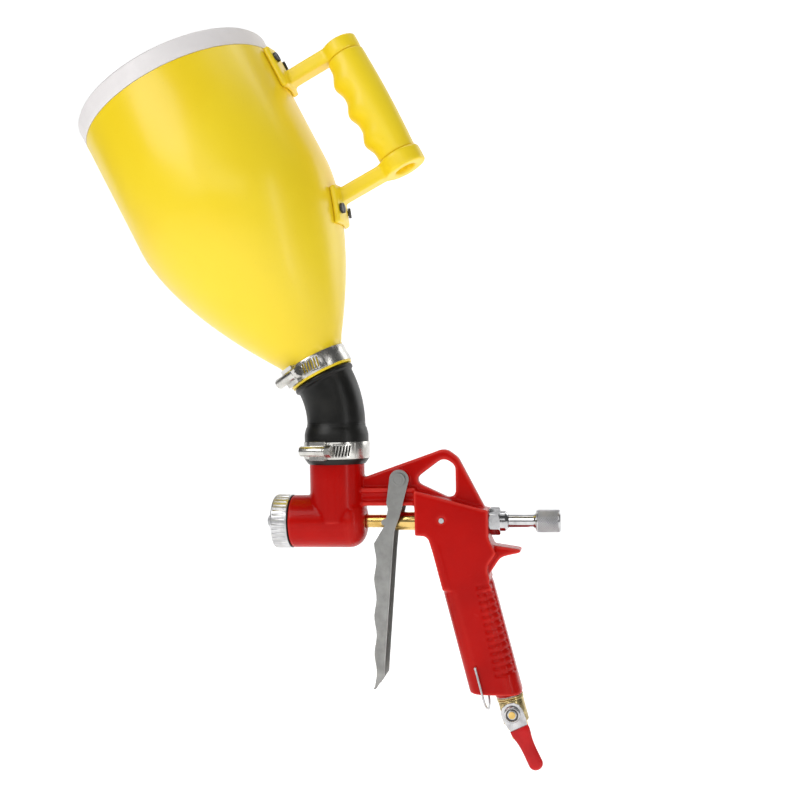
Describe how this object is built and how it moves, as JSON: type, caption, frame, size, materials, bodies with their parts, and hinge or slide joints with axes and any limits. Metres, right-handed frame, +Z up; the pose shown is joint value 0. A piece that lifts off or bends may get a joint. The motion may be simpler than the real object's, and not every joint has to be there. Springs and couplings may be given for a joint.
{
  "type": "hopper spray gun",
  "caption": "Pneumatic hopper gun for plaster and texture: tilted plastic hopper with lid and side handle on a rubber elbow, cast pistol body, trigger needle and inlet ball valve.",
  "frame": {"origin": "centre of the male air inlet's end face, below the pistol grip", "axes": "+Z up, -X along the spray direction, +Y to the side away from the worm clamps and valve lever"},
  "size_m": [0.3741, 0.1646, 0.5686],
  "materials": {
    "red_enamel": "gloss red enamel on an aluminium casting",
    "black_rubber": "moulded black rubber, semi-gloss",
    "cast_alloy": "turned and fluted alloy",
    "nickel": "bright nickel plate",
    "brass": "turned brass",
    "plated_brass": "forged brass, thin plating",
    "white_ptfe": "white PTFE",
    "satin_steel": "satin pressed steel",
    "spring_steel": "drawn spring steel wire",
    "clamp_steel": "bright rolled stainless steel",
    "red_vinyl": "dipped red vinyl",
    "yellow_plastic": "blow-moulded yellow polyethylene",
    "yellow_grip": "soft yellow grip",
    "white_plastic": "white polyethylene",
    "dark_screw": "blackened steel"
  },
  "bodies": {
    "gun": {"gun_body": "red_enamel", "cap_seal_ring": "black_rubber", "front_packing": "white_ptfe", "packing_nut": "brass", "trigger_pin": "satin_steel", "pin_circlip": "spring_steel", "collar_seal": "black_rubber", "seal_retainer": "brass", "retainer_pin": "nickel", "gland_nut": "nickel", "gland_oring": "black_rubber", "valve_gasket": "white_ptfe", "valve_body": "plated_brass", "valve_inlet": "brass", "valve_seats": "white_ptfe", "stem_packing": "white_ptfe", "elbow": "black_rubber", "lower_clamp_band": "clamp_steel", "lower_clamp_housing": "clamp_steel", "lower_clamp_screw": "clamp_steel", "upper_clamp_band": "clamp_steel", "upper_clamp_housing": "clamp_steel", "upper_clamp_screw": "clamp_steel", "hopper": "yellow_plastic", "handle_frame": "yellow_plastic", "grip_sleeve": "yellow_grip", "handle_screws": "dark_screw", "handle_nuts": "clamp_steel"},
    "nozzle": {"nozzle_insert": "nickel"},
    "cap": {"nozzle_cap": "cast_alloy"},
    "needle": {"air_needle": "brass", "needle_collar": "brass"},
    "trigger": {"trigger": "satin_steel"},
    "adjuster_feed": {"spring_seat": "brass", "return_spring": "spring_steel"},
    "adjuster": {"adjuster_screw": "nickel", "adjuster_knob": "nickel"},
    "valve_lever": {"valve_ball": "nickel", "valve_stem": "brass", "valve_lever": "nickel", "lever_sleeve": "red_vinyl", "lever_nut": "nickel"},
    "bail": {"wire_bail": "spring_steel"},
    "lid": {"lid": "white_plastic"}
  },
  "joints": [
    {"name": "trigger_pull", "type": "hinge", "parent": "gun", "child": "trigger", "pos_m": [-0.08846, 0, 0.19633], "axis": [0, -1, 0], "range_deg": [0, 20], "stiffness_Nm_per_rad": 1, "springref_deg": -14.32},
    {"name": "needle_slide", "type": "slide", "parent": "gun", "child": "needle", "axis": [1, 0, 0], "range_m": [0, 0.0118], "deforming": ["return_spring"]},
    {"name": "adjuster_turn", "type": "hinge", "parent": "adjuster_feed", "child": "adjuster", "pos_m": [-0.01496, 0, 0.16353], "axis": [1, 0, 0], "range_deg": [-1085, 1085]},
    {"name": "adjuster_feed", "type": "slide", "parent": "gun", "child": "adjuster_feed", "axis": [1, 0, 0], "range_m": [-0.0045, 0.0045], "deforming": ["return_spring"]},
    {"name": "cap_turn", "type": "hinge", "parent": "nozzle", "child": "cap", "pos_m": [-0.18196, 0, 0.16353], "axis": [-1, 0, 0], "range_deg": [0, 2525]},
    {"name": "cap_feed", "type": "slide", "parent": "gun", "child": "nozzle", "axis": [-1, 0, 0], "range_m": [0, 0.0105]},
    {"name": "valve_turn", "type": "hinge", "parent": "gun", "child": "valve_lever", "pos_m": [-0.00503, 0, 0.02018], "axis": [0, -1, 0], "range_deg": [-11, 79]},
    {"name": "bail_swing", "type": "hinge", "parent": "gun", "child": "bail", "pos_m": [-0.03193, 0, 0.05449], "axis": [0, 1, 0], "range_deg": [-5, 75]},
    {"name": "lid_lift", "type": "slide", "parent": "gun", "child": "lid", "axis": [-0.454, 0, 0.891], "range_m": [0, 0.06]}
  ],
  "couplings": [
    {"joint": "needle_slide", "follows": "trigger_pull", "m_per_rad": 0.0335},
    {"joint": "adjuster_turn", "follows": "adjuster_feed", "rad_per_m": 4188.8},
    {"joint": "cap_turn", "follows": "cap_feed", "rad_per_m": 4188.8}
  ]
}
